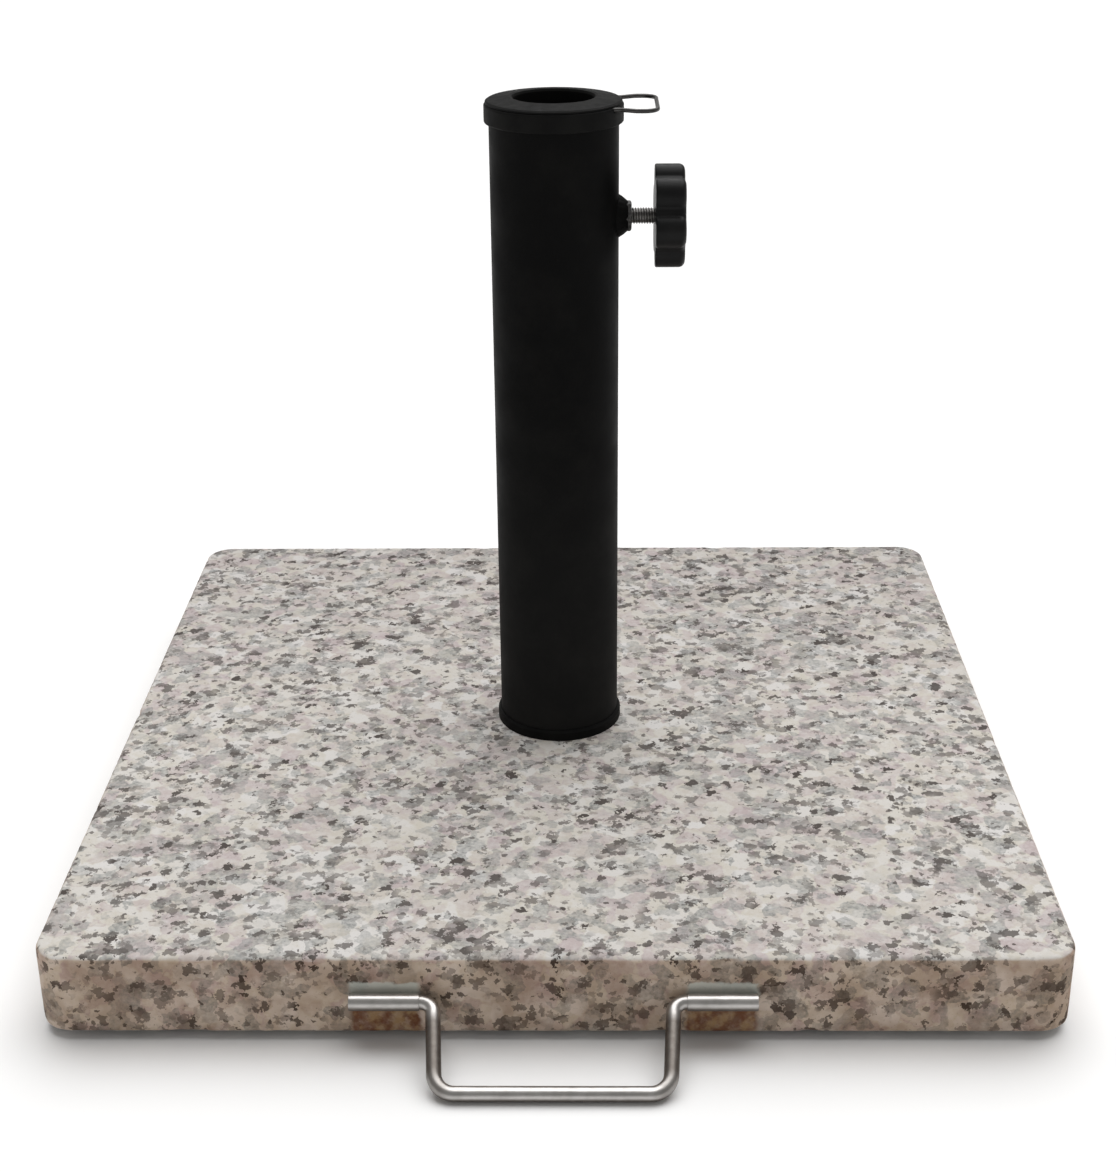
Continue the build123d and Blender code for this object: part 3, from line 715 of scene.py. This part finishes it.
def strap(side):
    """A strip wrapped round the rod, its two tails side by side in the stone's saw cut."""
    node = f"handle_strap_{side}"
    low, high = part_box(node)
    outer = (high.z - low.z) / 2
    inner = outer - STRAP_T
    ease = 0.12 * MM
    seam = 0.04 * MM
    wrap = 40
    open_angle = math.asin(STRAP_T / outer) * 1.02
    angles = [open_angle + (2 * math.pi - 2 * open_angle) * i / wrap for i in range(wrap + 1)]

    def section(shrink):
        """The strip's outline, seen along X: tail, loop outside, tail, then back inside the loop."""
        def loop(radius, turns):
            return [Vector((0, PIVOT.y + math.cos(a) * radius, PIVOT.z + math.sin(a) * radius))
                    for a in turns]

        far = high.y - shrink
        out = [Vector((0, far, PIVOT.z + STRAP_T - shrink))]
        out += loop(outer - shrink, angles)
        out.append(Vector((0, far, PIVOT.z - STRAP_T + shrink)))
        out.append(Vector((0, far, PIVOT.z - seam)))
        inner_open = math.asin(seam / inner)
        sweep = 2 * math.pi - 2 * inner_open
        out += loop(inner + shrink, [2 * math.pi - inner_open - sweep * i / wrap for i in range(wrap + 1)])
        out.append(Vector((0, far, PIVOT.z + seam)))
        return out

    verts = []
    for x, shrink in ((low.x, ease), (low.x + ease, 0.0), (high.x - ease, 0.0), (high.x, ease)):
        verts += [point + Vector((x, 0, 0)) for point in section(shrink)]
    count = len(verts) // 4
    faces = grid_faces(4, count, True)
    half = count // 2
    for start, flip in ((0, True), (3 * count, False)):
        ring = []
        for i in range(half - 1):
            quad = (start + i, start + i + 1, start + count - 2 - i, start + count - 1 - i)
            ring.append(tuple(reversed(quad)) if flip else quad)
        faces += ring
    piece = make_piece(f"strap_{side}", verts, faces, "base", [node])
    dress(soft_edges(piece, 35), "stainless")


handle_rod()
strap("left")
strap("right")


# ------------------------------------------------------------------ clamp nut, weld, screw and knob
NUT_LOW, NUT_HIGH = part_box("clamp_nut")
WELD_LOW, WELD_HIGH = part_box("clamp_nut_weld")
SCREW_LOW, SCREW_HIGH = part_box("clamp_screw")
PITCH = 1.25 * MM
THREAD_R = 4.0 * MM
THREAD_ROOT = 3.3 * MM
SCREW_HEAD_H = 5.3 * MM
NOSE_R = 2.75 * MM
NOSE_LEN = 2.3 * MM
WELD_TOP_R = 6.9 * MM
WELD_BORE_R = 6.4 * MM


def clamp_nut():
    """The hexagon nut on the tube's side, with one corner towards +Y."""
    nut = Builder()
    across = NUT_HIGH.z - NUT_LOW.z
    start = TUBE_R - 1.0 * MM
    nut.add(*hexagon_ring(across, NUT_HIGH.x - start, THREAD_R + 0.05 * MM,
                          (start, 0, CLAMP_AXIS_Z), (1, 0, 0), (0, 1, 0)))
    dress(nut.piece("clamp_nut_body", "base", ["clamp_nut"], 30), "rubbed_coat")


def weld_bead():
    """A hand-laid fillet weld from the tube to the nut's flats, with overlapping ripples."""
    base_r = (WELD_HIGH.z - WELD_LOW.z) / 2 - 0.3 * MM
    top_x = WELD_HIGH.x
    around, up_rows, ripples = 168, 10, 21
    origin = Vector((0, 0, CLAMP_AXIS_Z))
    verts = []
    for row in range(up_rows + 1):
        t = row / up_rows
        for i in range(around):
            a = 2 * math.pi * i / around
            radius = base_r + (WELD_TOP_R - base_r) * t
            belly = 0.45 * MM * math.sin(math.pi * t)
            fade = math.sin(math.pi * min(1.0, t + 0.15))
            ripple = 0.22 * MM * abs(math.sin(a * ripples / 2 + 1.3 * t)) * fade
            wander = 0.35 * MM * noise.noise(Vector((math.cos(a) * 1.6, math.sin(a) * 1.6, t * 2.0)))
            radius += belly + ripple * (1 - 0.4 * t) + wander * (1 - t)
            y, z = radius * math.cos(a), radius * math.sin(a)
            root = math.sqrt(max(TUBE_R ** 2 - y * y, 0.0)) - 0.15 * MM
            x = root + (top_x - root) * t ** 1.15
            verts.append(origin + Vector((x, y, z)))
    for x_at in (top_x - 0.3 * MM, TUBE_R - 1.2 * MM):
        for i in range(around):
            a = 2 * math.pi * i / around
            verts.append(origin + Vector((x_at, WELD_BORE_R * math.cos(a), WELD_BORE_R * math.sin(a))))
    rows = up_rows + 3
    faces = grid_faces(rows, around, True)
    last = (rows - 1) * around
    faces += [(last + i, last + (i + 1) % around, (i + 1) % around, i) for i in range(around)]
    piece = make_piece("clamp_nut_bead", verts, faces, "base", ["clamp_nut_weld"])
    dress(piece, "black_coat")


def threaded_rod(builder, x0, x1, origin_z):
    """An M8 right-hand thread cut along X, with chamfered ends."""
    around, per_turn = 48, 12
    step = PITCH / per_turn
    rows = int((x1 - x0) / step)
    verts = []
    for row in range(rows + 1):
        x = x0 + (x1 - x0) * row / rows
        ease = min(1.0, (x - x0) / (0.8 * MM) + 0.15, (x1 - x) / (0.4 * MM) + 0.15)
        for i in range(around):
            a = 2 * math.pi * i / around
            phase = (x / PITCH - i / around) % 1.0
            ridge = max(0.0, min(1.0, (0.5 - abs(phase - 0.5)) * 2.6 - 0.3))
            r = THREAD_ROOT + (THREAD_R - THREAD_ROOT) * min(ridge, ease)
            verts.append(Vector((x, r * math.cos(a), origin_z + r * math.sin(a))))
    faces = grid_faces(rows + 1, around, True)
    faces.append(tuple(reversed(range(around))))
    faces.append(tuple(range(len(verts) - around, len(verts))))
    builder.add(verts, faces)


def clamp_screw():
    """The clamp screw: a plain nose for the pad, the thread, and the head inside the knob."""
    screw = Builder()
    head_x = SCREW_HIGH.x - SCREW_HEAD_H
    threaded_rod(screw, SCREW_LOW.x + NOSE_LEN, head_x + 0.3 * MM, CLAMP_AXIS_Z)
    nose = [(0, 0), (2.3 * MM, 0), (NOSE_R, 0.4 * MM), (NOSE_R, NOSE_LEN + 0.1 * MM),
            (0, NOSE_LEN + 0.1 * MM)]
    screw.add(*solid_turned(nose, (SCREW_LOW.x, 0, CLAMP_AXIS_Z), (1, 0, 0), 40))
    across = SCREW_HIGH.z - SCREW_LOW.z
    screw.add(*hexagon_ring(across, SCREW_HIGH.x - head_x, 0, (head_x, 0, CLAMP_AXIS_Z), (1, 0, 0),
                            (0, 1, 0)))
    dress(screw.piece("clamp_screw_threaded", "clamp_knob", ["clamp_screw"], 50), "zinc_plate")


clamp_nut()
weld_bead()
clamp_screw()


# ------------------------------------------------------------------ wire clip
def wire_clip():
    """The U-shaped spring clip: two legs in the collar and a wider loop outside it."""
    low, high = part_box("collar_clip")
    r = (high.z - low.z) / 2
    z = (high.z + low.z) / 2
    leg_y, bulb_y = 16 * MM, high.y - r
    leg_end, bulb_start, end_x = 31 * MM, 38.5 * MM, high.x - r
    corners = [(low.x, leg_y, z), (leg_end, leg_y, z), (bulb_start, bulb_y, z), (end_x, bulb_y, z),
               (end_x, -bulb_y, z), (bulb_start, -bulb_y, z), (leg_end, -leg_y, z), (low.x, -leg_y, z)]
    side_bend, end_bend = 4 * MM, 6.5 * MM
    path = rounded(corners, [side_bend, side_bend, end_bend, end_bend, side_bend, side_bend], 12)
    wire = Builder()
    wire.add(*rod_along(divided(path, 2 * MM), r, 24, 0.3))
    dress(wire.piece("clip_wire", "collar_clip", ["collar_clip"]), "spring_wire")


wire_clip()


# ------------------------------------------------------------------ rollers
def bar(builder, middle, axes, sizes):
    """A straight square-cut bar; axes are its three unit directions, sizes its lengths along them."""
    signs = [(a, b, c) for a in (-1, 1) for b in (-1, 1) for c in (-1, 1)]
    verts = []
    for corner in signs:
        arms = [axis * (sign * size / 2) for axis, sign, size in zip(axes, corner, sizes)]
        verts.append(middle + sum(arms, Vector()))
    builder.add(verts, BOX_FACES)


def tyre(side):
    """A solid rubber tyre with three grooves round its tread and a sunk ring in each side wall."""
    low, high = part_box(f"wheel_tyre_{side}")
    hub_low, hub_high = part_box(f"wheel_hub_{side}")
    outer, half, rim = (high.z - low.z) / 2, (high.x - low.x) / 2, (hub_high.z - hub_low.z) / 2
    shoulder = 2.4 * MM
    crown = []
    depth, mouth, floor_half = 1.1 * MM, 0.8 * MM, 0.5 * MM
    for groove in (-4.4 * MM, 0.0, 4.4 * MM):
        crown += [(outer, groove - mouth), (outer - depth, groove - floor_half),
                  (outer - depth, groove + floor_half), (outer, groove + mouth)]
    bend = [(math.sin(math.radians(a)), math.cos(math.radians(a))) for a in range(0, 91, 15)]
    wall = [(rim, half), (rim + 1.0 * MM, half), (rim + 1.4 * MM, half - 0.5 * MM),
            (outer - shoulder - 0.9 * MM, half - 0.5 * MM), (outer - shoulder - 0.5 * MM, half)]
    corner = [(outer - shoulder + shoulder * a, half - shoulder + shoulder * b) for a, b in bend]
    right = wall + corner
    left = [(r, -h) for r, h in reversed(right)]
    profile = right + list(reversed(crown)) + left
    rubber_tyre = Builder()
    rubber_tyre.add(*turned(profile, (low + high) / 2, (1, 0, 0)))
    dress(rubber_tyre.piece(f"tyre_{side}", f"wheel_{side}", [f"wheel_tyre_{side}"], 35), "tyre")


def hub(side):
    """A moulded hub: boss, thin web, rim, and six ribs between boss and rim."""
    low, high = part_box(f"wheel_hub_{side}")
    tyre_low, tyre_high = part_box(f"wheel_tyre_{side}")
    middle = (low + high) / 2
    rim, half_boss, half = (high.z - low.z) / 2, (high.x - low.x) / 2, (tyre_high.x - tyre_low.x) / 2
    bore, boss, web, rim_in = 3.05 * MM, 5.5 * MM, 2.0 * MM, rim - 1.3 * MM
    right = [(bore, half_boss), (boss - 0.4 * MM, half_boss), (boss, half_boss - 0.4 * MM), (boss, web),
             (rim_in, web), (rim_in, half - 0.3 * MM), (rim_in + 0.3 * MM, half), (rim, half)]
    left = [(r, -h) for r, h in reversed(right)]
    moulding = Builder()
    moulding.add(*turned(right + left, middle, (1, 0, 0)))
    along = Vector((1, 0, 0))
    for i in range(6):
        angle = math.pi * i / 3
        out = Vector((0, math.cos(angle), math.sin(angle)))
        across = along.cross(out)
        sizes = (2 * half - 2 * MM, rim_in - boss + 0.4 * MM, 1.1 * MM)
        bar(moulding, middle + out * (rim_in + boss) / 2, (along, out, across), sizes)
    dress(moulding.piece(f"hub_{side}", f"wheel_{side}", [f"wheel_hub_{side}"], 30), "grey_nylon")


def axles():
    """Two axle pins with domed heads towards the middle of the base."""
    low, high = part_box("wheel_axles")
    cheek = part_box("wheel_bracket_right")[0].x
    head_t, head_r, pin_r = 2.0 * MM, (high.z - low.z) / 2, 3.0 * MM
    length = high.x - cheek + head_t
    chamfer = 0.5 * MM
    profile = [(0, 0), (2.2 * MM, 0.05 * MM), (3.6 * MM, 0.35 * MM), (4.6 * MM, 0.9 * MM),
               (head_r, 1.5 * MM), (head_r, head_t), (pin_r, head_t), (pin_r, length - chamfer),
               (pin_r - chamfer, length), (0, length)]
    pins = Builder()
    for sign in (-1, 1):
        start = Vector((sign * (cheek - head_t), (low.y + high.y) / 2, (low.z + high.z) / 2))
        pins.add(*solid_turned(profile, start, (sign, 0, 0), 48))
    dress(pins.piece("axle_pins", "base", ["wheel_axles"], 35), "zinc_plate")


for wheel_side in ("left", "right"):
    tyre(wheel_side)
    hub(wheel_side)
axles()


# ------------------------------------------------------------------ under the slab
def feet():
    """Four round rubber feet with two raised rings underneath."""
    low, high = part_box("rubber_feet")
    r, height = 16.0 * MM, high.z
    groove = 0.7 * MM
    profile = [(0, groove), (4.6 * MM, groove), (5.2 * MM, 0), (7.6 * MM, 0), (8.2 * MM, groove),
               (11.2 * MM, groove), (11.8 * MM, 0), (r - 1.2 * MM, 0), (r - 0.3 * MM, 0.4 * MM),
               (r, 1.2 * MM), (r, height - 0.4 * MM), (r - 0.4 * MM, height), (0, height)]
    pads = Builder()
    for x in (low.x + r, high.x - r):
        for y in (low.y + r, high.y - r):
            pads.add(*solid_turned(profile, (x, y, 0), (0, 0, 1)))
    dress(pads.piece("feet_pads", "base", ["rubber_feet"], 30), "rubber")


def fixing_bolt():
    """The bolt that holds the tube down: a chamfered hexagon head and its shank."""
    low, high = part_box("base_bolt")
    head_h, shank_r, tip = 7.5 * MM, 6.0 * MM, 1.2 * MM
    bolt = Builder()
    bolt.add(*hexagon_ring(high.y - low.y, head_h, 0, (0, 0, low.z), (0, 0, 1), (1, 0, 0), 0.9 * MM, 10))
    profile = [(0, head_h - 0.2 * MM), (shank_r, head_h - 0.2 * MM), (shank_r, high.z - low.z - tip),
               (shank_r - tip, high.z - low.z), (0, high.z - low.z)]
    bolt.add(*solid_turned(profile, (0, 0, low.z), (0, 0, 1), 64))
    dress(bolt.piece("fixing_bolt", "base", ["base_bolt"], 30), "zinc_plate")


def plate_washer():
    """The large washer above the bolt's head, with rolled edges from the press."""
    low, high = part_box("large_washer")
    outer, bore, thick, roll = high.x, 6.5 * MM, high.z - low.z, 0.5 * MM
    profile = [(bore, 0.0), (outer - roll, 0.0), (outer - 0.3 * roll, 0.3 * roll), (outer, roll),
               (outer, thick), (bore, thick)]
    washer = Builder()
    washer.add(*turned(profile, (0, 0, low.z), (0, 0, 1)))
    dress(washer.piece("plate_washer", "base", ["large_washer"], 30), "zinc_plate")


feet()
fixing_bolt()
plate_washer()


# ------------------------------------------------------------------ floor, light and camera
def floor():
    mesh = bpy.data.meshes.new("studio_floor")
    reach = 9.0
    mesh.from_pydata([(-reach, -reach, 0), (reach, -reach, 0), (reach, reach, 0), (-reach, reach, 0)], [],
                     [(0, 1, 2, 3)])
    plane = bpy.data.objects.new("studio_floor", mesh)
    bpy.context.scene.collection.objects.link(plane)
    plane.location.z = -0.3 * MM
    s = Shader("floor_paper")
    tone = s.mix(s.range(s.noise(2.0, 2.0), 0.3, 0.7), rgb(0.87, 0.87, 0.87), rgb(0.89, 0.89, 0.89))
    mesh.materials.append(s.finish(tone, 0.75, Specular_IOR_Level=0.15))


def surroundings():
    world = bpy.data.worlds.new("studio")
    world.use_nodes = True
    nodes, links = world.node_tree.nodes, world.node_tree.links
    nodes["Background"].inputs["Color"].default_value = (1.0, 0.985, 0.965, 1)
    # a white line of wall where the floor ends, and soft grey light above it
    height = nodes.new("ShaderNodeSeparateXYZ")
    links.new(nodes.new("ShaderNodeTexCoord").outputs["Generated"], height.inputs[0])
    fade = nodes.new("ShaderNodeMapRange")
    for key, value in (("From Min", 0.05), ("From Max", 0.09), ("To Min", 1.0), ("To Max", 0.34)):
        fade.inputs[key].default_value = value
    links.new(height.outputs["Z"], fade.inputs["Value"])
    # behind the object the wall is white all the way up
    strength = nodes.new("ShaderNodeMath")
    strength.operation = "MAXIMUM"
    links.new(fade.outputs["Result"], strength.inputs[0])
    links.new(nodes.new("ShaderNodeLightPath").outputs["Is Camera Ray"], strength.inputs[1])
    links.new(strength.outputs[0], nodes["Background"].inputs["Strength"])
    bpy.context.scene.world = world
    bpy.context.scene.view_settings.view_transform = "Standard"
    sky = bpy.data.lights.new("overhead", "SUN")
    sky.energy = 3.1
    sky.angle = math.radians(70)
    lamp = bpy.data.objects.new("overhead", sky)
    bpy.context.scene.collection.objects.link(lamp)
    lamp.rotation_euler = Vector((-0.10, -0.45, -1.0)).to_track_quat("-Z", "Y").to_euler()


def camera():
    """The camera stands 0.92 m in front of the tube and 0.53 m up, and looks down at the slab."""
    place = Vector((15.48, -917.15, 526.87)) * MM
    yaw, pitch, roll = math.radians(-0.975), math.radians(24.164), math.radians(-0.559)
    forward = Vector((math.sin(yaw) * math.cos(pitch), math.cos(yaw) * math.cos(pitch), -math.sin(pitch)))
    right = Vector((math.cos(yaw), -math.sin(yaw), 0))
    up = right.cross(forward)
    turned_right = right * math.cos(roll) + up * math.sin(roll)
    turned_up = up * math.cos(roll) - right * math.sin(roll)
    data = bpy.data.cameras.new("camera")
    data.sensor_fit = "HORIZONTAL"
    data.sensor_width = 36
    data.lens = 62.889
    data.clip_start = 0.05
    view = bpy.data.objects.new("camera", data)
    bpy.context.scene.collection.objects.link(view)
    axes = Matrix((turned_right, turned_up, -forward)).transposed().to_4x4()
    view.matrix_world = Matrix.Translation(place) @ axes
    bpy.context.scene.camera = view


floor()
surroundings()
camera()
